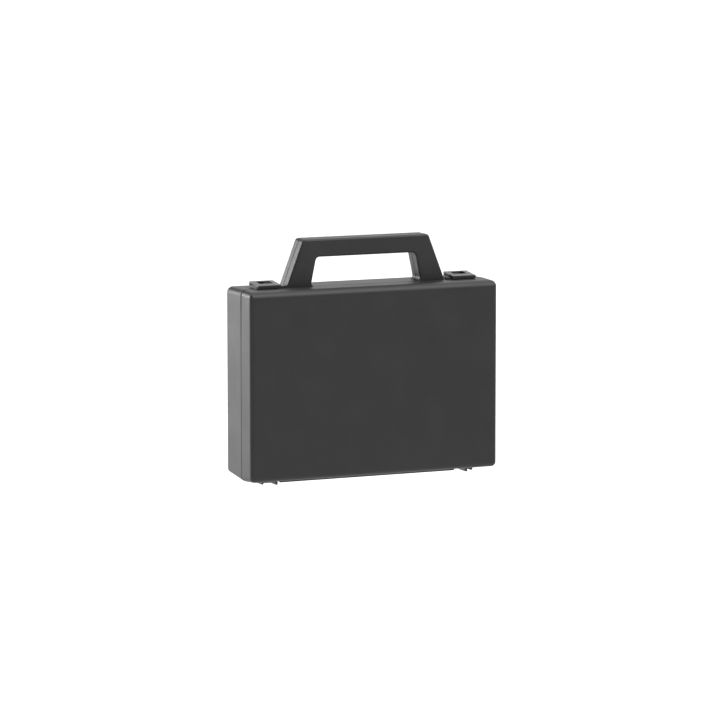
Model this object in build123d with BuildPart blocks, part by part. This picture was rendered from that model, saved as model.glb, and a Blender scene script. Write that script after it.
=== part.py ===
from build123d import *
from math import hypot
import os

# A small moulded carrying case that stands on its hinge edge.
# Sizes are in millimetres. X runs left to right, Y from the front to the back, Z up.
# The origin is under the middle of the case, on the surface that its feet stand on.

# Body
case_width = 260.5
body_height = 185.9
lid_depth = 24.2
base_depth = 40.8
wall = 2.4
top_corner_radius = 6.0
low_corner_radius = 4.8
front_top_radius = 7.2
front_edge_radius = 4.2
rear_edge_radius = 4.2
lid_draft = 0.5
base_draft = 0.8
lid_underside_rise = 1.8
base_underside_rise = 3.5
seam_gap = 0.5
seam_chamfer = 0.35
corner_gape = 1.5
side_gape_length = 85.0
top_gape_length = 34.0
weld = 0.6

# Tongue on the base's rim, inside the lid's rim
tongue_reach = 2.5
tongue_thickness = 1.2
tongue_clearance = 0.3
band_reach = 6.0

# Handle
handle_base_half_width = 83.4
handle_top_half_width = 66.0
grip_base_half_width = 58.0
grip_top_half_width = 52.1
handle_height = 45.6
grip_height = 28.1
handle_front_reach = 2.4
handle_seam_reach = 8.5
handle_rear_reach = 18.7
handle_wall = 2.2
handle_outer_corner = 4.0
handle_inner_corner = 4.5
handle_foot_radius = 4.0
handle_edge_radius = 2.2
handle_seam_gap = 1.0
overhang_clearance = 0.35

# Slide latches
latch_handle_gap = 6.9
latch_stop_gap = 0.9
latch_length = 24.7
latch_front_reach = 5.5
latch_rear_reach = 16.5
latch_front_rise = 3.5
latch_rear_rise = 5.9
latch_plate = 1.3
latch_lip = 1.5
latch_hover = 0.35
latch_running_gap = 0.3
latch_edge_radius = 0.5
window_length = 13.8
window_outer_margin = 5.6
window_front_margin = 0.4
window_rear_margin = 2.2
stop_nib_width = 3.0
rail_setback = 3.2
rail_stem_width = 3.4
rail_flange = 1.3
rail_hook = 2.3
rail_underside_rise = 1.5
catch_side_gap = 0.4

# Hinges, foot ribs and the long rail under the lid
hinge_drop = 1.2
hinge_gap = 0.4
pin_radius = 0.9
pin_seat_gap = 0.02
pin_running_gap = 0.05
pin_end_inset = 0.4
pin_chamfer = 0.2
left_hinge_inset = 35.25
left_hinge_span = 14.8
right_hinge_inset = 23.75
right_hinge_span = 5.5
rib_width = 2.2
foot_depth = 3.7
outer_rib_lift = 1.2
foot_toe_reach = 3.0
foot_heel_reach = 14.0
knuckle_radius = 1.8
channel_side_gap = 0.4
channel_roof_gap = 0.4
channel_wall = 1.6
skid_length = 185.0
skid_shift = -0.5
skid_setback = 3.6
skid_thickness = 2.3
skid_drop = 2.5
skid_edge_radius = 0.6

# Foam inserts
foam_clearance = 0.4
foam_corner = 6.0
backing_thickness = 6.0
tray_front_setback = 1.0
lid_foam_setback = 3.2
pocket_margin = 15.0
pocket_rib = 12.0
left_column_width = 140.0
slot_height = 34.0
pocket_corner = 6.0
finger_notch_radius = 13.0

# Planes and heights that the sizes above fix
foot_drop = hinge_drop + foot_depth
bottom_z = foot_drop
top_z = bottom_z + body_height
axis_z = bottom_z - hinge_drop
parting_y = (lid_depth - base_depth) / 2
front_y = parting_y - lid_depth
rear_y = parting_y + base_depth
lid_rim_y = parting_y - seam_gap / 2
base_rim_y = parting_y + seam_gap / 2
handle_seam_y = parting_y + handle_seam_reach

LEFT = -1
RIGHT = 1

# Places in a list that is sorted from the front to the back
FRONT = 0
REAR = -1


def upright_plane(y):
    """The upright plane at depth y. Its local axes run along X and Z, and it faces the front."""
    return Plane.XZ.offset(-y)


def side_plane(x):
    """The upright plane at x. Its local axes run along Y and Z, and it faces right."""
    return Plane.YZ.offset(x)


def outline(half_width, low_z, high_z, radius):
    """A rounded rectangle in an upright plane, centred on the case."""
    with Locations((0, (low_z + high_z) / 2)):
        RectangleRounded(2 * half_width, high_z - low_z, radius)


def tapered_face(rim, far, rim_low, rim_high, far_low, far_high):
    """A four-sided face that tapers from the rim of a shell to its far side."""
    Polygon((rim, rim_low), (far, far_low), (far, far_high), (rim, rim_high), align=None)


def bar(low, high, mode=Mode.ADD):
    """A square-cut block between two corners of the case's own frame."""
    middle = [(a + b) / 2 for a, b in zip(low, high)]
    size = [abs(b - a) for a, b in zip(low, high)]
    with Locations(tuple(middle)):
        Box(*size, mode=mode)


def span(side, near, far):
    """The x limits of something from near to far outward of the middle, on one side of the case."""
    return sorted((side * near, side * far))


def disc(side, near, far, radius, mode=Mode.ADD):
    """A round of the hinge between two distances from the middle of the case."""
    low_x, high_x = span(side, near, far)
    with Locations(Location(((low_x + high_x) / 2, parting_y, axis_z), (0, 90, 0))):
        Cylinder(radius, high_x - low_x, mode=mode)


# Hinge layout: the middles of the inner and the outer rib of each side, outward from the middle

rib_middles = {
    LEFT: (case_width / 2 - left_hinge_inset, case_width / 2 - left_hinge_inset + left_hinge_span),
    RIGHT: (case_width / 2 - right_hinge_inset, case_width / 2 - right_hinge_inset + right_hinge_span),
}
rib_root_z = bottom_z + base_underside_rise * foot_heel_reach / base_depth + weld
rib_crown_z = axis_z + pin_radius + wall / 2
channel_height = hypot(foot_depth, foot_toe_reach) - hinge_drop + channel_roof_gap


def knuckle_ends(side):
    """The inner and the outer end of the lid's knuckle, between the base's two ribs."""
    inner, outer = rib_middles[side]
    return inner + rib_width / 2 + hinge_gap, outer - rib_width / 2 - hinge_gap


# Handle profile, shared by both halves. It is drawn down to a root below the body's top and trimmed.

handle_foot_z = top_z - wall / 2
handle_root_z = top_z - 2 * handle_edge_radius - weld
handle_side_slope = (handle_base_half_width - handle_top_half_width) / handle_height
handle_root_half_width = handle_base_half_width + handle_side_slope * (top_z - handle_root_z)
opening_floor_z = top_z - base_draft / 2
grip_z = top_z + grip_height
handle_z = top_z + handle_height


# The handle's face: a trapezoid round the hand opening
with BuildSketch() as hand_opening:
    with BuildLine():
        Polyline(
            (-grip_base_half_width, opening_floor_z),
            (-grip_top_half_width, grip_z),
            (grip_top_half_width, grip_z),
            (grip_base_half_width, opening_floor_z),
            close=True,
        )
    make_face()
    fillet(hand_opening.vertices().group_by(Axis.Y)[-1], handle_inner_corner)
    fillet(hand_opening.vertices().group_by(Axis.Y)[0], handle_foot_radius)

with BuildSketch() as handle_profile:
    with BuildLine():
        Polyline(
            (-handle_root_half_width, handle_root_z),
            (-handle_top_half_width, handle_z),
            (handle_top_half_width, handle_z),
            (handle_root_half_width, handle_root_z),
            close=True,
        )
    make_face()
    fillet(handle_profile.vertices().group_by(Axis.Y)[-1], handle_outer_corner)
    add(hand_opening.sketch, mode=Mode.SUBTRACT)


def round_handle_face(half, far):
    """Rounds the edges of one handle half's outer face, above its root."""
    edges = half.faces().sort_by(Axis.Y)[far].edges()
    fillet(edges.filter_by(lambda edge: edge.center().Z > handle_root_z + weld), handle_edge_radius)


def trim_root():
    """Cuts a handle half off inside the body's top wall."""
    bar((-case_width, front_y, bottom_z), (case_width, rear_y, handle_foot_z), mode=Mode.SUBTRACT)


# Front half of the handle, hollow towards the seam

front_half_depth = handle_front_reach + handle_seam_reach - handle_seam_gap / 2

with BuildPart() as front_handle:
    with BuildSketch(upright_plane(handle_seam_y - handle_seam_gap / 2)):
        add(handle_profile.sketch)
    extrude(amount=front_half_depth)
    round_handle_face(front_handle, FRONT)
    with BuildSketch(upright_plane(handle_seam_y - handle_seam_gap / 2)):
        add(handle_profile.sketch)
        offset(amount=-handle_wall)
    extrude(amount=front_half_depth - handle_wall, mode=Mode.SUBTRACT)
    trim_root()
    bar(
        (-case_width, lid_rim_y, bottom_z),
        (case_width, rear_y, top_z + overhang_clearance),
        mode=Mode.SUBTRACT,
    )

# Rear half of the handle

rear_half_depth = handle_rear_reach - handle_seam_reach - handle_seam_gap / 2

with BuildPart() as rear_handle:
    with BuildSketch(upright_plane(handle_seam_y + handle_seam_gap / 2)):
        add(handle_profile.sketch)
    extrude(amount=-rear_half_depth)
    round_handle_face(rear_handle, REAR)
    with BuildSketch(upright_plane(handle_seam_y + handle_seam_gap / 2)):
        add(handle_profile.sketch)
        offset(amount=-handle_wall)
    extrude(amount=-(rear_half_depth - handle_wall), mode=Mode.SUBTRACT)
    trim_root()

# Latch layout, shared by the catch lugs, the rails and the sliders

latch_inner_end = handle_base_half_width + latch_handle_gap
latch_front_y = parting_y - latch_front_reach
latch_rear_y = parting_y + latch_rear_reach
latch_outer_end = latch_inner_end + latch_length
latch_travel = latch_handle_gap - latch_stop_gap
catch_near = latch_inner_end - latch_travel
catch_far = latch_inner_end - catch_side_gap
rail_front_y = parting_y + rail_setback
rail_rear_y = latch_rear_y - latch_lip - latch_running_gap
rail_middle_y = (rail_front_y + rail_rear_y) / 2
rail_low_z = top_z + rail_underside_rise
rail_high_z = rail_low_z + rail_flange
rail_far = latch_outer_end - latch_lip - latch_travel - latch_running_gap
window_far = latch_outer_end - window_outer_margin
window_near = window_far - window_length
window_front_y = rail_front_y - window_front_margin
window_rear_y = latch_rear_y - latch_lip - window_rear_margin
nib_near = window_near + latch_running_gap
nib_far = window_far - latch_travel - latch_running_gap
plate_slope = (latch_rear_rise - latch_front_rise) / (latch_front_reach + latch_rear_reach)


def plate_underside(y):
    """The height of the underside of a slider's sloping plate at depth y."""
    return top_z + latch_front_rise - latch_plate + plate_slope * (y - latch_front_y)


catch_front_y = latch_front_y + latch_lip + latch_running_gap
catch_high_z = plate_underside(latch_front_y) - latch_running_gap

# Outlines of the two shells and of their cavities, from the side and from above

lid_width_in = case_width / 2 - lid_draft
lid_low_z = bottom_z + lid_underside_rise
lid_high_z = top_z - lid_draft
base_width_in = case_width / 2 - base_draft
base_low_z = bottom_z + base_underside_rise
base_high_z = top_z - base_draft
inner_front_y = front_y + wall
inner_rear_y = rear_y - wall
plan_plane = Plane(origin=(0, 0, case_width), x_dir=(0, 1, 0), z_dir=(0, 0, -1))

with BuildSketch() as lid_side:
    tapered_face(lid_rim_y, front_y, bottom_z, top_z, lid_low_z, lid_high_z)

with BuildSketch() as lid_brow:
    add(lid_side.sketch)
    fillet(lid_brow.vertices().group_by(Axis.X)[FRONT].sort_by(Axis.Y)[-1], front_top_radius)

with BuildSketch() as lid_plan:
    tapered_face(lid_rim_y, front_y, -case_width / 2, case_width / 2, -lid_width_in, lid_width_in)

with BuildSketch() as lid_cavity_side:
    tapered_face(
        lid_rim_y + weld,
        inner_front_y,
        bottom_z + wall,
        top_z - wall,
        lid_low_z + wall,
        lid_high_z - wall,
    )

with BuildSketch() as lid_cavity_brow:
    add(lid_cavity_side.sketch)
    fillet(lid_cavity_brow.vertices().group_by(Axis.X)[FRONT].sort_by(Axis.Y)[-1], front_top_radius - wall)

with BuildSketch() as lid_cavity_plan:
    tapered_face(
        lid_rim_y + weld,
        inner_front_y,
        wall - case_width / 2,
        case_width / 2 - wall,
        wall - lid_width_in,
        lid_width_in - wall,
    )

with BuildSketch() as base_side:
    tapered_face(base_rim_y, rear_y, bottom_z, top_z, base_low_z, base_high_z)

with BuildSketch() as base_plan:
    tapered_face(base_rim_y, rear_y, -case_width / 2, case_width / 2, -base_width_in, base_width_in)

with BuildSketch() as base_cavity_side:
    tapered_face(
        base_rim_y - weld,
        inner_rear_y,
        bottom_z + wall,
        top_z - wall,
        base_low_z + wall,
        base_high_z - wall,
    )

with BuildSketch() as base_cavity_plan:
    tapered_face(
        base_rim_y - weld,
        inner_rear_y,
        wall - case_width / 2,
        case_width / 2 - wall,
        wall - base_width_in,
        base_width_in - wall,
    )


def trim_to_side(side, mode):
    """A prism across the whole case with the outline of one side view."""
    extrude(side.sketch.moved(side_plane(-case_width).location), amount=2 * case_width, mode=mode)


def tapered_block(side, plan):
    """A block trimmed to its side and plan outlines."""
    trim_to_side(side, Mode.ADD)
    extrude(plan.sketch.moved(plan_plane.location), amount=2 * case_width, mode=Mode.INTERSECT)


def long_edges(block):
    """The edges that run from a block's rim to its far side, in groups from the lowest to the highest."""
    return block.edges().group_by(Axis.Y)[1].group_by(Axis.Z)


def round_block(block, far, far_radius, inset=0):
    """Rounds a block's long edges and the edges of its far face. The radii shrink by the inset."""
    fillet(long_edges(block)[-1], top_corner_radius - inset)
    fillet(long_edges(block)[0], low_corner_radius - inset)
    fillet(block.faces().sort_by(Axis.Y)[far].edges(), far_radius - inset)


with BuildPart() as lid_cavity:
    tapered_block(lid_cavity_side, lid_cavity_plan)
    round_block(lid_cavity, FRONT, front_edge_radius, wall)
    trim_to_side(lid_cavity_brow, Mode.INTERSECT)

with BuildPart() as base_cavity:
    tapered_block(base_cavity_side, base_cavity_plan)
    round_block(base_cavity, REAR, rear_edge_radius, wall)

# Thin wedges by which the lid's rim stands off the base's rim towards the two top corners
with BuildPart() as corner_gapes:
    for side in (LEFT, RIGHT):
        with BuildSketch(side_plane(side * case_width / 2)):
            with BuildLine():
                Polyline(
                    (parting_y, top_z - side_gape_length),
                    (parting_y, top_z + weld),
                    (lid_rim_y - corner_gape, top_z + weld),
                    (lid_rim_y, top_z - side_gape_length),
                    close=True,
                )
            make_face()
        extrude(amount=top_corner_radius, both=True)
        with BuildSketch(Plane.XY.offset(top_z)):
            with BuildLine():
                Polyline(
                    (side * (case_width / 2 - top_gape_length), parting_y),
                    (side * (case_width / 2 + weld), parting_y),
                    (side * (case_width / 2 + weld), lid_rim_y - corner_gape),
                    (side * (case_width / 2 - top_gape_length), lid_rim_y),
                    close=True,
                )
            make_face()
        extrude(amount=top_corner_radius, both=True)

# Front shell: the lid, with its handle half, catch lugs, hinge knuckles and skid rail

channel_end_y = parting_y - hypot(foot_heel_reach, foot_depth) - channel_side_gap
channel_start_y = parting_y - tongue_reach - tongue_clearance
channel_floor_z = bottom_z + (lid_underside_rise + wall) / 2

with BuildPart() as front_shell:
    tapered_block(lid_side, lid_plan)
    round_block(front_shell, FRONT, front_edge_radius)
    trim_to_side(lid_brow, Mode.INTERSECT)
    chamfer(front_shell.faces().sort_by(Axis.Y)[REAR].edges(), seam_chamfer)
    add(lid_cavity.part, mode=Mode.SUBTRACT)
    add(corner_gapes.part, mode=Mode.SUBTRACT)
    add(front_handle.part)
    for side in (LEFT, RIGHT):
        # Catch lug that the latch's front lip covers when the latch is pushed in
        near_x, far_x = span(side, catch_near, catch_far)
        bar(
            (near_x, catch_front_y, top_z - wall / 2),
            (far_x, lid_rim_y, catch_high_z),
        )
        # Closed channels that take the base's ribs when the lid lies fully open
        for middle in rib_middles[side]:
            near_x, far_x = span(side, middle - rib_width / 2, middle + rib_width / 2)
            slot_x = (near_x - channel_side_gap, far_x + channel_side_gap)
            bar(
                (slot_x[0] - channel_wall, channel_end_y - channel_wall, channel_floor_z),
                (slot_x[1] + channel_wall, channel_start_y, bottom_z + channel_height + channel_wall),
            )
        for middle in rib_middles[side]:
            near_x, far_x = span(side, middle - rib_width / 2, middle + rib_width / 2)
            bar(
                (near_x - channel_side_gap, channel_end_y, bottom_z - foot_drop),
                (far_x + channel_side_gap, parting_y, bottom_z + channel_height),
                mode=Mode.SUBTRACT,
            )
        # Knuckle round the hinge pin
        near, far = knuckle_ends(side)
        disc(side, near, far, knuckle_radius)
        near_x, far_x = span(side, near, far)
        bar(
            (near_x, parting_y - knuckle_radius, axis_z),
            (far_x, lid_rim_y, bottom_z + wall / 2),
        )
        disc(side, near, far, pin_radius + pin_running_gap, mode=Mode.SUBTRACT)
    # Skid rail
    skid_rear_y = parting_y - skid_setback
    bar(
        (skid_shift - skid_length / 2, skid_rear_y - skid_thickness, bottom_z - skid_drop),
        (skid_shift + skid_length / 2, skid_rear_y, bottom_z + wall / 2),
    )
    skid_edges = front_shell.faces().filter_by(Axis.Z).filter_by(
        lambda face: abs(face.center().Z - (bottom_z - skid_drop)) < weld / 10
    )
    fillet(skid_edges.edges(), skid_edge_radius)

# Rear shell: the base, with its handle half, latch rails and the ribs that it stands on

tongue_inset = wall + tongue_clearance

with BuildPart() as rear_shell:
    tapered_block(base_side, base_plan)
    round_block(rear_shell, REAR, rear_edge_radius)
    chamfer(rear_shell.faces().sort_by(Axis.Y)[FRONT].edges(), seam_chamfer)
    add(base_cavity.part, mode=Mode.SUBTRACT)
    # Tongue and the band that carries it
    with BuildSketch(upright_plane(base_rim_y + band_reach)):
        outline(
            case_width / 2 - wall + tongue_clearance,
            bottom_z + wall - tongue_clearance,
            top_z - wall + tongue_clearance,
            min(top_corner_radius, low_corner_radius) - wall + tongue_clearance,
        )
        with Locations((0, (bottom_z + top_z) / 2)):
            Rectangle(
                case_width - 2 * (tongue_inset + tongue_thickness),
                body_height - 2 * (tongue_inset + tongue_thickness),
                mode=Mode.SUBTRACT,
            )
    extrude(amount=band_reach)
    with BuildSketch(upright_plane(base_rim_y + weld)):
        outline(
            case_width / 2 - tongue_inset,
            bottom_z + tongue_inset,
            top_z - tongue_inset,
            max(top_corner_radius, low_corner_radius) - tongue_inset,
        )
        with Locations((0, (bottom_z + top_z) / 2)):
            Rectangle(
                case_width - 2 * (tongue_inset + tongue_thickness),
                body_height - 2 * (tongue_inset + tongue_thickness),
                mode=Mode.SUBTRACT,
            )
    extrude(amount=seam_gap / 2 + tongue_reach + weld)
    add(rear_handle.part)
    for side in (LEFT, RIGHT):
        # T rail that carries the latch, with the nib that stops it
        near_x, far_x = span(side, latch_inner_end, rail_far)
        bar((near_x, rail_front_y, rail_low_z), (far_x, rail_rear_y, rail_high_z))
        bar(
            (near_x, rail_middle_y - rail_stem_width / 2, top_z - wall / 2),
            (far_x, rail_middle_y + rail_stem_width / 2, rail_low_z + rail_flange / 2),
        )
        near_x, far_x = span(side, nib_near, nib_far)
        bar(
            (near_x, rail_middle_y - stop_nib_width / 2, rail_low_z + rail_flange / 2),
            (far_x, rail_middle_y + stop_nib_width / 2, plate_underside(rail_middle_y) + latch_plate / 2),
        )
        # Ribs that the case stands on, with the seats of the pin. The outer one is a little shorter.
        for middle, lift in zip(rib_middles[side], (0.0, outer_rib_lift)):
            near_x, far_x = span(side, middle - rib_width / 2, middle + rib_width / 2)
            bar(
                (near_x, parting_y - foot_toe_reach, lift),
                (far_x, parting_y + foot_heel_reach, rib_crown_z),
            )
            bar(
                (near_x, base_rim_y, axis_z),
                (far_x, parting_y + foot_heel_reach, rib_root_z),
            )
            disc(
                side,
                middle - rib_width / 2,
                middle + rib_width / 2,
                pin_radius + pin_seat_gap,
                mode=Mode.SUBTRACT,
            )
        # Room for the lid's knuckle
        near, far = knuckle_ends(side)
        disc(side, near - hinge_gap, far + hinge_gap, knuckle_radius + hinge_gap, mode=Mode.SUBTRACT)

# Hinge pins

os.makedirs("parts", exist_ok=True)

for side, name in ((LEFT, "hinge_pin_left"), (RIGHT, "hinge_pin_right")):
    inner, outer = rib_middles[side]
    low_x, high_x = span(side, inner - rib_width / 2 + pin_end_inset, outer + rib_width / 2 - pin_end_inset)
    with BuildPart() as hinge_pin:
        with BuildSketch(side_plane(low_x)):
            with Locations((parting_y, axis_z)):
                Circle(pin_radius)
        extrude(amount=high_x - low_x)
        chamfer(hinge_pin.edges().filter_by(GeomType.CIRCLE), pin_chamfer)
    hinge_pin.part.label = name
    export_step(hinge_pin.part, "parts/" + name + ".step")

# Slide latches: an inverted channel whose hooks run under the rail's flange

lip_low_z = top_z + latch_hover
hook_high_z = rail_low_z - latch_running_gap
rib_front_y = rail_front_y - latch_running_gap - latch_lip
hook_front_y = rail_front_y + rail_hook - latch_running_gap
hook_rear_y = rail_rear_y - rail_hook + latch_running_gap


# The slider's cross-section, with Y across and Z up
with BuildSketch() as latch_section:
    with BuildLine():
        Polyline(
            (latch_front_y, top_z + latch_front_rise - latch_plate),
            (latch_front_y, top_z + latch_front_rise),
            (latch_rear_y, top_z + latch_rear_rise),
            (latch_rear_y, top_z + latch_rear_rise - latch_plate),
            close=True,
        )
    make_face()
    for low_y, high_y in (
        (latch_front_y, latch_front_y + latch_lip),
        (rib_front_y, rib_front_y + latch_lip),
        (latch_rear_y - latch_lip, latch_rear_y),
    ):
        high_z = plate_underside(low_y) + latch_plate / 2
        with Locations(((low_y + high_y) / 2, (lip_low_z + high_z) / 2)):
            Rectangle(high_y - low_y, high_z - lip_low_z)
    for low_y, high_y in ((rib_front_y, hook_front_y), (hook_rear_y, latch_rear_y)):
        with Locations(((low_y + high_y) / 2, (lip_low_z + hook_high_z) / 2)):
            Rectangle(high_y - low_y, hook_high_z - lip_low_z)


for side, name in ((LEFT, "latch_slider_left"), (RIGHT, "latch_slider_right")):
    low_x, high_x = span(side, latch_inner_end, latch_outer_end)
    with BuildPart() as latch_slider:
        with BuildSketch(side_plane(low_x)):
            add(latch_section.sketch)
        extrude(amount=high_x - low_x)
        # End wall on the outer side, short of the front lip
        near_x, far_x = span(side, latch_outer_end - latch_lip, latch_outer_end)
        bar(
            (near_x, latch_front_y + 2 * latch_lip, lip_low_z),
            (far_x, latch_rear_y - latch_lip / 2, plate_underside(latch_front_y) + latch_plate / 2),
        )
        fillet(
            latch_slider.faces().sort_by(Axis.Z)[-1].edges(),
            latch_edge_radius,
        )
        # Window in the plate
        near_x, far_x = span(side, window_near, window_far)
        bar(
            (near_x, window_front_y, rail_high_z),
            (far_x, window_rear_y, top_z + latch_rear_rise + latch_plate),
            mode=Mode.SUBTRACT,
        )
    latch_slider.part.label = name
    export_step(latch_slider.part, "parts/" + name + ".step")

# Foam: a pocket layer and its backing sheet in the base, and a pad in the lid

foam_low_z = base_low_z + wall + foam_clearance
foam_high_z = top_z - tongue_inset - tongue_thickness - foam_clearance
foam_half_width = case_width / 2 - tongue_inset - tongue_thickness - foam_clearance
backing_rear_y = inner_rear_y - foam_clearance
backing_front_y = backing_rear_y - backing_thickness
tray_rear_y = backing_front_y - foam_clearance
tray_front_y = parting_y + tray_front_setback

pocket_left = -foam_half_width + pocket_margin
pocket_right = foam_half_width - pocket_margin
pocket_low = foam_low_z + pocket_margin
pocket_high = foam_high_z - pocket_margin
column_split = pocket_left + left_column_width
slot_top = pocket_low + slot_height
right_split = (pocket_low + pocket_high) / 2
pockets = (
    (pocket_left, pocket_low, column_split, slot_top),
    (pocket_left, slot_top + pocket_rib, column_split, pocket_high),
    (column_split + pocket_rib, pocket_low, pocket_right, right_split - pocket_rib / 2),
    (column_split + pocket_rib, right_split + pocket_rib / 2, pocket_right, pocket_high),
)

with BuildPart() as foam_tray:
    with BuildSketch(upright_plane(tray_rear_y)):
        outline(foam_half_width, foam_low_z, foam_high_z, foam_corner)
    extrude(amount=tray_rear_y - tray_front_y)
    with BuildSketch(upright_plane(tray_rear_y)):
        for left, low, right, high in pockets:
            with Locations(((left + right) / 2, (low + high) / 2)):
                RectangleRounded(right - left, high - low, pocket_corner)
        # Finger notches that open the long slot into the large pocket's rib
        with Locations((pocket_left + left_column_width / 2, slot_top)):
            Circle(finger_notch_radius)
    extrude(amount=tray_rear_y - tray_front_y, mode=Mode.SUBTRACT)

with BuildPart() as foam_backing:
    with BuildSketch(upright_plane(backing_rear_y)):
        outline(foam_half_width, foam_low_z, foam_high_z, foam_corner)
    extrude(amount=backing_thickness)
    fillet(foam_backing.faces().sort_by(Axis.Y)[-1].edges(), rear_edge_radius - wall)

lid_foam_half_width = lid_width_in - wall - foam_clearance
lid_foam_low_z = bottom_z + channel_height + channel_wall + foam_clearance
lid_foam_high_z = lid_high_z - wall - foam_clearance
lid_foam_rear_y = parting_y - lid_foam_setback
lid_foam_front_y = inner_front_y + foam_clearance

with BuildPart() as lid_foam:
    with BuildSketch(upright_plane(lid_foam_rear_y)):
        outline(lid_foam_half_width, lid_foam_low_z, lid_foam_high_z, foam_corner)
    extrude(amount=lid_foam_rear_y - lid_foam_front_y)
    fillet(lid_foam.faces().sort_by(Axis.Y)[0].edges(), front_top_radius - wall)

for piece, name in (
    (front_shell, "front_shell"),
    (rear_shell, "rear_shell"),
    (foam_tray, "foam_tray"),
    (foam_backing, "foam_backing"),
    (lid_foam, "lid_foam"),
):
    piece.part.label = name
    export_step(piece.part, "parts/" + name + ".step")
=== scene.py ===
from math import cos, pi, radians, sin

import bmesh
import bpy
from mathutils import Matrix, Vector, noise


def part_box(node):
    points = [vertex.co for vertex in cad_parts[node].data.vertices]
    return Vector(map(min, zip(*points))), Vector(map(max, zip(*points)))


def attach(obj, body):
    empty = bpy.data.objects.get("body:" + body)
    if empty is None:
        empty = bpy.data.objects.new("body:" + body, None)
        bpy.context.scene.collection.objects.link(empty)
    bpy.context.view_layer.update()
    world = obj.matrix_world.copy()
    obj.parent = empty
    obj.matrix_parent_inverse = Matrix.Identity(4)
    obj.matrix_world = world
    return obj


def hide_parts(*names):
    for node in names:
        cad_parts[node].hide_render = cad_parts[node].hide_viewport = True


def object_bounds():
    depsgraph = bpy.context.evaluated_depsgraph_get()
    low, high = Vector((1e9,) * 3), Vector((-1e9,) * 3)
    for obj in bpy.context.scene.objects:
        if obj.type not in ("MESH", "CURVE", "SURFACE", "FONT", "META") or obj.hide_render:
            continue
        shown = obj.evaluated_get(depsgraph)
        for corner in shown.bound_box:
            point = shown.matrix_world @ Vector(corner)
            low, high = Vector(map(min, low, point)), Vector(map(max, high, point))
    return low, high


# Looks of a small moulded carrying case that stands on its hinge edge.
# Sizes are in metres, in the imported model's frame: X right, Y to the back, Z up.

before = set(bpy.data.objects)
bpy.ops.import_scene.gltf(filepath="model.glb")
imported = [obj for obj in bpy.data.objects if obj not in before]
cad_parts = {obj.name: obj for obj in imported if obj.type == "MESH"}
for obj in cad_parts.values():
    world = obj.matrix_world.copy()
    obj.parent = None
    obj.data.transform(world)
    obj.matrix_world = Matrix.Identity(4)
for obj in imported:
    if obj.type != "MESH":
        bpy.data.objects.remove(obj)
cad_low, cad_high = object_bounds()

MM = 0.001

# Camera, at the photograph's angle
CAMERA_TURN = radians(23.421)
CAMERA_TILT = radians(7.737)
CAMERA_ROLL = radians(-0.05)
CAMERA_TARGET = Vector((-4.26, -4.27, 115.7)) * MM
CAMERA_DISTANCE = 4138.0 * MM
CAMERA_LENS_MM = 213.09
SENSOR_MM = 36.0

# Studio. The floor lies as far under the feet as the case is tall, clear of the open lid.
FLOOR_Z = -cad_high.z
FLOOR_HALF_SIDE = 30.0
DOME_STRENGTH = 0.3
OVERHEAD_STRENGTH = 3.2
OVERHEAD_SPREAD = radians(100)
LIGHT_TARGET = Vector((0, 0, 0.12))
# Each softbox's place, side and power
SOFT_BOXES = {
    "rear_left": ((-1.6, 2.1, 0.56), 1.0, 52),
    "rear": ((1.5, 3.5, 1.9), 2.4, 19),
    "front": ((0.35, -0.7, 1.0), 0.7, 9),
}

# Looks. Greys and roughness run from a first to a second value with the field's middle range.
# A noise field has its scale to the metre, its layers and at times their roughness.
# A cell field has its scale to the metre and its smoothness. A bump has its depth and strength.
FIELD_START = 0.3
FIELD_END = 0.7

SHELL_GREYS = ((0.0138, 0.0138, 0.0143), (0.017, 0.017, 0.0175))
SHELL_ROUGHNESS = (0.42, 0.48)
SHELL_GRAIN_DEPTH = 0.05 * MM
LATCH_GREYS = ((0.017, 0.017, 0.0175), (0.021, 0.021, 0.0215))
LATCH_ROUGHNESS = (0.32, 0.38)
LATCH_GRAIN_DEPTH = 0.03 * MM
PLASTIC_SPECULAR = 0.3
CLOUD_FIELD = (28, 3)
SPECK_FIELD = (1900, 2)
SPECK_GREYS = ((0.8, 0.8, 0.8), (1, 1, 1))
SPECK_SHARE = 0.35
GRAIN_FIELD = (1250, 3, 0.62)
GRAIN_STRENGTH = 1.0
PIT_FIELD = (1500, 0.6)
PIT_STRENGTH = 0.6

STEEL_GREYS = ((0.46, 0.46, 0.47), (0.6, 0.6, 0.61))
STEEL_ROUGHNESS = (0.24, 0.38)
STEEL_LINE_STRETCH = (1, 0.05, 0.05)
STEEL_LINE_FIELD = (5200, 3)
STEEL_LINE_BUMP = (0.01 * MM, 0.5)

FOAM_GREYS = ((0.02, 0.02, 0.021), (0.05, 0.05, 0.052))
FOAM_ROUGHNESS = 0.95
FOAM_SHEEN = 0.15
FOAM_SHEEN_ROUGHNESS = 0.6
FOAM_UNEVEN_FIELD = (380, 4)
FOAM_UNEVEN_BUMP = (0.35 * MM, 0.8)
FOAM_CELL_FIELD = (900, 0.4)
FOAM_CELL_BUMP = (0.5 * MM, 0.9)

FLOOR_GREY = 0.85
FLOOR_GREY_CHANGE = 0.01
FLOOR_CLOUD_FIELD = (1.5, 2)
FLOOR_ROUGHNESS = 0.9
FLOOR_SPECULAR = 0.1

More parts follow.
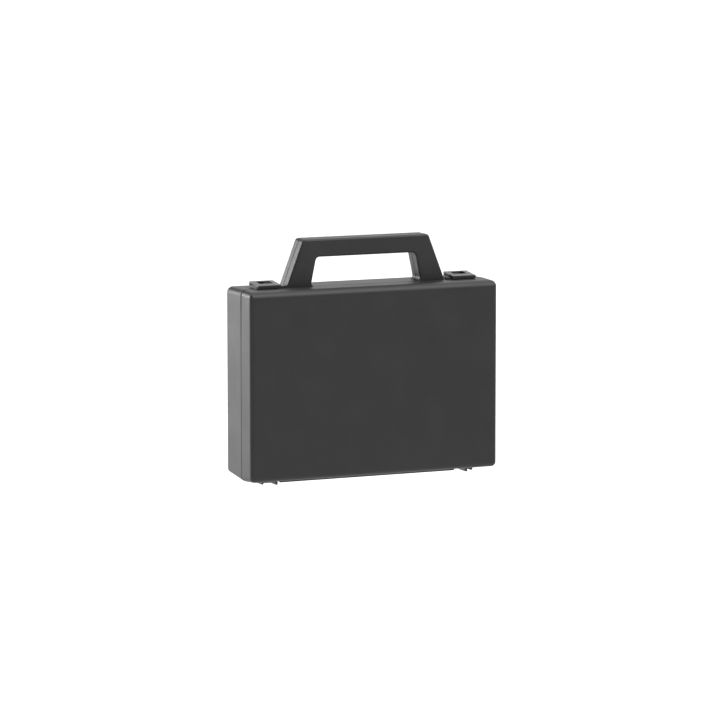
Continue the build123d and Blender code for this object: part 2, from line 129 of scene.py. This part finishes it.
# Foam inserts
FOAM_VOXEL = 1.4 * MM
FOAM_EDGE = 0.8 * MM
FOAM_EDGE_STEPS = 2
FOAM_CORNER = 6.0 * MM
CORNER_STEPS = 6
POCKET_CORNER = 6.0 * MM
POCKET_MARGIN = 15.0 * MM
POCKET_RIB = 12.0 * MM
LEFT_COLUMN_WIDTH = 140.0 * MM
SLOT_HEIGHT = 34.0 * MM
FINGER_NOTCH_RADIUS = 13.0 * MM
FINGER_NOTCH_STEPS = 16
CONVOLUTE_PITCH = 21.0 * MM
CONVOLUTE_BASE = 8.0 * MM
CONVOLUTE_STEP = 1.5 * MM
CONVOLUTE_FULLNESS = 0.3
CONVOLUTE_EDGE_WIDTH = CONVOLUTE_PITCH / 3
CONVOLUTE_EDGE_HEIGHT = CONVOLUTE_BASE * 1.4

# Unevenness of the cut faces: how deep and how wide for each piece, the share and fineness
# of its smaller waves, and how far it lies below the true face, in shares of its depth
TRAY_WAVES = (0.35 * MM, 11 * MM)
BACKING_WAVES = (0.3 * MM, 14 * MM)
PAD_WAVES = (0.3 * MM, 9 * MM)
FINE_WAVE_SHARE = 0.5
FINE_WAVE_RATIO = 2.7
WAVE_SINK = 0.6


# Materials

def new_material(name):
    """A node material, its node tree and its Principled shader, which is joined to the output."""
    material = bpy.data.materials.new(name)
    material.use_nodes = True
    tree = material.node_tree
    tree.nodes.clear()
    output = tree.nodes.new("ShaderNodeOutputMaterial")
    shader = tree.nodes.new("ShaderNodeBsdfPrincipled")
    tree.links.new(shader.outputs["BSDF"], output.inputs["Surface"])
    return material, tree, shader


def place_coordinates(tree, scale=(1, 1, 1)):
    """The point on the object in the model's own frame, scaled along each axis."""
    coordinates = tree.nodes.new("ShaderNodeTexCoord")
    mapping = tree.nodes.new("ShaderNodeMapping")
    mapping.inputs["Scale"].default_value = scale
    tree.links.new(coordinates.outputs["Object"], mapping.inputs["Vector"])
    return mapping.outputs["Vector"]


def noise_field(tree, vector, scale, detail, roughness=0.5):
    """A noise value over the surface."""
    field = tree.nodes.new("ShaderNodeTexNoise")
    field.inputs["Scale"].default_value = scale
    field.inputs["Detail"].default_value = detail
    field.inputs["Roughness"].default_value = roughness
    tree.links.new(vector, field.inputs["Vector"])
    return field.outputs["Fac"]


def cell_field(tree, vector, scale, smoothness):
    """The distance from the middles of small uneven cells over the surface."""
    field = tree.nodes.new("ShaderNodeTexVoronoi")
    field.feature = "SMOOTH_F1"
    field.inputs["Scale"].default_value = scale
    field.inputs["Smoothness"].default_value = smoothness
    tree.links.new(vector, field.inputs["Vector"])
    return field.outputs["Distance"]


def spread(tree, value, low, high):
    """Maps a field's middle range onto low to high."""
    span = tree.nodes.new("ShaderNodeMapRange")
    span.inputs["From Min"].default_value = FIELD_START
    span.inputs["From Max"].default_value = FIELD_END
    span.inputs["To Min"].default_value = low
    span.inputs["To Max"].default_value = high
    tree.links.new(value, span.inputs["Value"])
    return span.outputs["Result"]


def grey_ramp(tree, value, dark, light):
    """A grey that runs from dark to light over a field's middle range."""
    ramp = tree.nodes.new("ShaderNodeValToRGB")
    ramp.color_ramp.elements[0].position = FIELD_START
    ramp.color_ramp.elements[0].color = (*dark, 1)
    ramp.color_ramp.elements[1].position = FIELD_END
    ramp.color_ramp.elements[1].color = (*light, 1)
    tree.links.new(value, ramp.inputs["Fac"])
    return ramp.outputs["Color"]


def bump(tree, height, distance, strength, normal=None):
    """A bump of that height in metres, over another one if given."""
    node = tree.nodes.new("ShaderNodeBump")
    node.inputs["Distance"].default_value = distance
    node.inputs["Strength"].default_value = strength
    tree.links.new(height, node.inputs["Height"])
    if normal is not None:
        tree.links.new(normal, node.inputs["Normal"])
    return node.outputs["Normal"]


def moulded_plastic(name, greys, roughness, grain_depth):
    """Dark grey plastic from a spark-eroded mould: fine even grain, with faint flow clouding."""
    material, tree, shader = new_material(name)
    place = place_coordinates(tree)
    cloud = noise_field(tree, place, *CLOUD_FIELD)
    speck = noise_field(tree, place, *SPECK_FIELD)
    grain = noise_field(tree, place, *GRAIN_FIELD)
    pits = cell_field(tree, place, *PIT_FIELD)
    specked = tree.nodes.new("ShaderNodeMix")
    specked.data_type = "RGBA"
    specked.blend_type = "MULTIPLY"
    specked.inputs["Factor"].default_value = SPECK_SHARE
    tree.links.new(grey_ramp(tree, cloud, *greys), specked.inputs["A"])
    tree.links.new(grey_ramp(tree, speck, *SPECK_GREYS), specked.inputs["B"])
    tree.links.new(specked.outputs["Result"], shader.inputs["Base Color"])
    tree.links.new(spread(tree, cloud, *roughness), shader.inputs["Roughness"])
    shader.inputs["Specular IOR Level"].default_value = PLASTIC_SPECULAR
    grained = bump(tree, grain, grain_depth, GRAIN_STRENGTH)
    pitted = bump(tree, pits, grain_depth, PIT_STRENGTH, grained)
    tree.links.new(pitted, shader.inputs["Normal"])
    return material


def drawn_steel():
    """Bright drawn wire of a hinge pin, with faint lines round it."""
    material, tree, shader = new_material("pin_steel")
    place = place_coordinates(tree, STEEL_LINE_STRETCH)
    lines = noise_field(tree, place, *STEEL_LINE_FIELD)
    tree.links.new(grey_ramp(tree, lines, *STEEL_GREYS), shader.inputs["Base Color"])
    tree.links.new(spread(tree, lines, *STEEL_ROUGHNESS), shader.inputs["Roughness"])
    shader.inputs["Metallic"].default_value = 1.0
    tree.links.new(bump(tree, lines, *STEEL_LINE_BUMP), shader.inputs["Normal"])
    return material


def open_cell_foam():
    """Charcoal open-cell foam: a fine matt cell texture."""
    material, tree, shader = new_material("foam")
    place = place_coordinates(tree)
    cells = cell_field(tree, place, *FOAM_CELL_FIELD)
    uneven = noise_field(tree, place, *FOAM_UNEVEN_FIELD)
    tree.links.new(grey_ramp(tree, uneven, *FOAM_GREYS), shader.inputs["Base Color"])
    shader.inputs["Roughness"].default_value = FOAM_ROUGHNESS
    shader.inputs["Sheen Weight"].default_value = FOAM_SHEEN
    shader.inputs["Sheen Roughness"].default_value = FOAM_SHEEN_ROUGHNESS
    rough = bump(tree, uneven, *FOAM_UNEVEN_BUMP)
    tree.links.new(bump(tree, cells, *FOAM_CELL_BUMP, rough), shader.inputs["Normal"])
    return material


def pale_floor():
    """A plain pale studio floor."""
    material, tree, shader = new_material("pale_floor")
    place = place_coordinates(tree)
    cloud = noise_field(tree, place, *FLOOR_CLOUD_FIELD)
    dark = (FLOOR_GREY - FLOOR_GREY_CHANGE,) * 3
    light = (FLOOR_GREY + FLOOR_GREY_CHANGE,) * 3
    tree.links.new(grey_ramp(tree, cloud, dark, light), shader.inputs["Base Color"])
    shader.inputs["Roughness"].default_value = FLOOR_ROUGHNESS
    shader.inputs["Specular IOR Level"].default_value = FLOOR_SPECULAR
    return material


SHELL = moulded_plastic("shell_plastic", SHELL_GREYS, SHELL_ROUGHNESS, SHELL_GRAIN_DEPTH)
LATCH = moulded_plastic("latch_plastic", LATCH_GREYS, LATCH_ROUGHNESS, LATCH_GRAIN_DEPTH)
STEEL = drawn_steel()
FOAM = open_cell_foam()


def dress(names, material):
    """Gives CAD nodes a finished material."""
    for name in names:
        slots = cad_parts[name].data.materials
        slots.clear()
        slots.append(material)


dress(("rear_shell", "front_shell"), SHELL)
dress(("latch_slider_left", "latch_slider_right"), LATCH)
dress(("hinge_pin_left", "hinge_pin_right"), STEEL)


# Objects

def new_object(name, data):
    """An object of the scene that holds the data."""
    item = bpy.data.objects.new(name, data)
    bpy.context.scene.collection.objects.link(item)
    return item


def shown_mesh(holder):
    """The mesh that an object shows, in the model's frame. The object itself goes."""
    bpy.context.view_layer.update()
    shown = holder.evaluated_get(bpy.context.evaluated_depsgraph_get())
    mesh = bpy.data.meshes.new_from_object(shown)
    mesh.transform(holder.matrix_world)
    bpy.data.objects.remove(holder)
    return mesh


# Foam

def new_piece(name, mesh, body, node):
    """A foam piece that stands for a CAD node and rides on its body."""
    piece = new_object(name, mesh)
    mesh.materials.clear()
    mesh.materials.append(FOAM)
    for polygon in mesh.polygons:
        polygon.use_smooth = True
    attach(piece, body)
    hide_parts(node)


def rounded_loop(left, low, right, high, radius):
    """The points of a rounded rectangle, in X and Z, corner by corner from the upper right."""
    points = []
    for centre_x, centre_z, start in (
        (right - radius, high - radius, 0),
        (left + radius, high - radius, 1),
        (left + radius, low + radius, 2),
        (right - radius, low + radius, 3),
    ):
        for step in range(CORNER_STEPS + 1):
            angle = (start + step / CORNER_STEPS) * pi / 2
            points.append((centre_x + radius * cos(angle), centre_z + radius * sin(angle)))
    return points


def notched_loop(left, low, right, high, radius, notch_x, notch_radius):
    """A rounded rectangle with a half round added to its top edge."""
    points = rounded_loop(left, low, right, high, radius)
    arc = []
    for step in range(FINGER_NOTCH_STEPS + 1):
        angle = pi * step / FINGER_NOTCH_STEPS
        arc.append((notch_x + notch_radius * cos(angle), high + notch_radius * sin(angle)))
    first_corner = CORNER_STEPS + 1
    return points[:first_corner] + arc + points[first_corner:]


def cut_sheet(name, loops, front_y, rear_y):
    """A sheet of foam between two depths, with cut-outs. The first loop is its outside."""
    curve = bpy.data.curves.new(name, "CURVE")
    curve.dimensions = "2D"
    curve.fill_mode = "BOTH"
    curve.extrude = (rear_y - front_y) / 2 - FOAM_EDGE
    curve.bevel_depth = FOAM_EDGE
    curve.bevel_resolution = FOAM_EDGE_STEPS
    curve.offset = -FOAM_EDGE
    for points in loops:
        spline = curve.splines.new("POLY")
        spline.points.add(len(points) - 1)
        for target, (x, z) in zip(spline.points, points):
            target.co = (x, z, 0, 1)
        spline.use_cyclic_u = True
    holder = new_object(name + "_outline", curve)
    middle = Matrix.Translation((0, (front_y + rear_y) / 2, 0))
    holder.matrix_world = middle @ Matrix.Rotation(pi / 2, 4, "X")
    return shown_mesh(holder)


def remeshed(mesh):
    """The mesh with an even skin of small faces."""
    holder = new_object("remeshed", mesh)
    skin = holder.modifiers.new("skin", "REMESH")
    skin.mode = "VOXEL"
    skin.voxel_size = FOAM_VOXEL
    return shown_mesh(holder)


def soften(mesh, waves, low, high):
    """Moves each point a little, mostly inwards, as cut foam is never quite flat.

    No point leaves the box from low to high.
    """
    depth, width = waves
    normals = [vertex.normal.copy() for vertex in mesh.vertices]
    for vertex, normal in zip(mesh.vertices, normals):
        place = vertex.co / width
        wave = noise.noise(place) + FINE_WAVE_SHARE * noise.noise(place * FINE_WAVE_RATIO)
        moved = vertex.co + normal * depth * (wave - WAVE_SINK)
        vertex.co = [min(max(value, a), b) for value, a, b in zip(moved, low, high)]


def foam_tray():
    """The pocket layer in the base."""
    low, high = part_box("foam_tray")
    left = low.x + POCKET_MARGIN
    right = high.x - POCKET_MARGIN
    bottom = low.z + POCKET_MARGIN
    top = high.z - POCKET_MARGIN
    column = left + LEFT_COLUMN_WIDTH
    slot_top = bottom + SLOT_HEIGHT
    middle = (bottom + top) / 2
    notch_x = left + LEFT_COLUMN_WIDTH / 2
    small_left = column + POCKET_RIB
    loops = (
        rounded_loop(low.x, low.z, high.x, high.z, FOAM_CORNER),
        notched_loop(left, bottom, column, slot_top, POCKET_CORNER, notch_x, FINGER_NOTCH_RADIUS),
        rounded_loop(left, slot_top + POCKET_RIB, column, top, POCKET_CORNER),
        rounded_loop(small_left, bottom, right, middle - POCKET_RIB / 2, POCKET_CORNER),
        rounded_loop(small_left, middle + POCKET_RIB / 2, right, top, POCKET_CORNER),
    )
    mesh = remeshed(cut_sheet("pocket_foam", loops, low.y, high.y))
    soften(mesh, TRAY_WAVES, low, high)
    new_piece("pocket_foam", mesh, "base", "foam_tray")


def foam_backing():
    """The thin sheet behind the pockets."""
    low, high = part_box("foam_backing")
    loops = (rounded_loop(low.x, low.z, high.x, high.z, FOAM_CORNER),)
    mesh = remeshed(cut_sheet("backing_foam", loops, low.y, high.y))
    soften(mesh, BACKING_WAVES, low, high)
    new_piece("backing_foam", mesh, "base", "foam_backing")


def pad_thickness(x, z, low, high):
    """How thick the lid's pad is at a point: peaks in rows, and an even edge all round."""
    ripple = sin(pi * x / CONVOLUTE_PITCH) * sin(pi * z / CONVOLUTE_PITCH)
    fuller = 1 + CONVOLUTE_FULLNESS - CONVOLUTE_FULLNESS * ripple * ripple
    rise = 0.5 + 0.5 * ripple * fuller
    peaks = CONVOLUTE_BASE + (high.y - low.y - CONVOLUTE_BASE) * rise
    to_edge = min(x - low.x, high.x - x, z - low.z, high.z - z)
    share = min(1.0, max(0.0, to_edge / CONVOLUTE_EDGE_WIDTH))
    eased = share * share * (3 - 2 * share)
    return peaks + (CONVOLUTE_EDGE_HEIGHT - peaks) * (1 - eased)


def lid_foam():
    """The convoluted pad in the lid, whose peaks press on what lies in the pockets."""
    low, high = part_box("lid_foam")
    columns = round((high.x - low.x) / CONVOLUTE_STEP)
    rows = round((high.z - low.z) / CONVOLUTE_STEP)
    solid = bmesh.new()
    front = []
    for row in range(rows + 1):
        line = []
        for column in range(columns + 1):
            x = low.x + (high.x - low.x) * column / columns
            z = low.z + (high.z - low.z) * row / rows
            line.append(solid.verts.new((x, low.y + pad_thickness(x, z, low, high), z)))
        front.append(line)
    back = [[solid.verts.new((point.co.x, low.y, point.co.z)) for point in line] for line in front]
    for row in range(rows):
        for column in range(columns):
            corners = ((row, column), (row + 1, column), (row + 1, column + 1), (row, column + 1))
            solid.faces.new([front[a][b] for a, b in corners])
            solid.faces.new([back[a][b] for a, b in reversed(corners)])
    rim = [(0, column) for column in range(columns)]
    rim += [(row, columns) for row in range(rows)]
    rim += [(rows, column) for column in range(columns, 0, -1)]
    rim += [(row, 0) for row in range(rows, 0, -1)]
    for (row_a, column_a), (row_b, column_b) in zip(rim, rim[1:] + rim[:1]):
        solid.faces.new((front[row_a][column_a], front[row_b][column_b],
                         back[row_b][column_b], back[row_a][column_a]))
    bmesh.ops.recalc_face_normals(solid, faces=solid.faces)
    data = bpy.data.meshes.new("convoluted_foam")
    solid.to_mesh(data)
    solid.free()
    mesh = remeshed(data)
    soften(mesh, PAD_WAVES, low, high)
    new_piece("convoluted_foam", mesh, "lid", "lid_foam")


foam_tray()
foam_backing()
lid_foam()


# Studio

def make_floor():
    """A large plain floor."""
    plane = bmesh.new()
    corners = [(-1, -1), (1, -1), (1, 1), (-1, 1)]
    plane.faces.new([
        plane.verts.new((x * FLOOR_HALF_SIDE, y * FLOOR_HALF_SIDE, FLOOR_Z)) for x, y in corners
    ])
    data = bpy.data.meshes.new("floor")
    plane.to_mesh(data)
    plane.free()
    data.materials.append(pale_floor())
    new_object("floor", data)


def soft_box(name, place, side, power):
    """A square softbox at a place, turned to the case."""
    light = bpy.data.lights.new(name, "AREA")
    light.shape = "SQUARE"
    light.size = side
    light.energy = power
    holder = new_object(name, light)
    holder.location = place
    aim = LIGHT_TARGET - Vector(place)
    holder.rotation_euler = aim.to_track_quat("-Z", "Y").to_euler()


def overhead(strength, spread_angle):
    """Wide even light from above, the same all over the floor."""
    light = bpy.data.lights.new("overhead", "SUN")
    light.energy = strength
    light.angle = spread_angle
    new_object("overhead", light)


def dome(strength):
    """Even white light from all round."""
    world = bpy.data.worlds.new("studio")
    world.use_nodes = True
    background = world.node_tree.nodes["Background"]
    background.inputs["Color"].default_value = (1, 1, 1, 1)
    background.inputs["Strength"].default_value = strength
    bpy.context.scene.world = world


def make_camera():
    """The camera, with a long lens, at the photograph's viewing angle."""
    right = Vector((cos(CAMERA_TURN), -sin(CAMERA_TURN), 0))
    level = cos(CAMERA_TILT)
    forward = Vector((sin(CAMERA_TURN) * level, cos(CAMERA_TURN) * level, -sin(CAMERA_TILT)))
    up = right.cross(forward)
    rolled_right = right * cos(CAMERA_ROLL) + up * sin(CAMERA_ROLL)
    rolled_up = up * cos(CAMERA_ROLL) - right * sin(CAMERA_ROLL)
    turn = Matrix((rolled_right, rolled_up, -forward)).transposed()
    place = Matrix.Translation(CAMERA_TARGET - forward * CAMERA_DISTANCE)
    data = bpy.data.cameras.new("camera")
    data.lens = CAMERA_LENS_MM
    data.sensor_width = SENSOR_MM
    camera = new_object("camera", data)
    camera.matrix_world = place @ turn.to_4x4()
    bpy.context.scene.camera = camera


make_floor()
dome(DOME_STRENGTH)
overhead(OVERHEAD_STRENGTH, OVERHEAD_SPREAD)
for box_name, (box_place, box_side, box_power) in SOFT_BOXES.items():
    soft_box(box_name, box_place, box_side, box_power)
make_camera()
bpy.context.scene.view_settings.view_transform = "Standard"
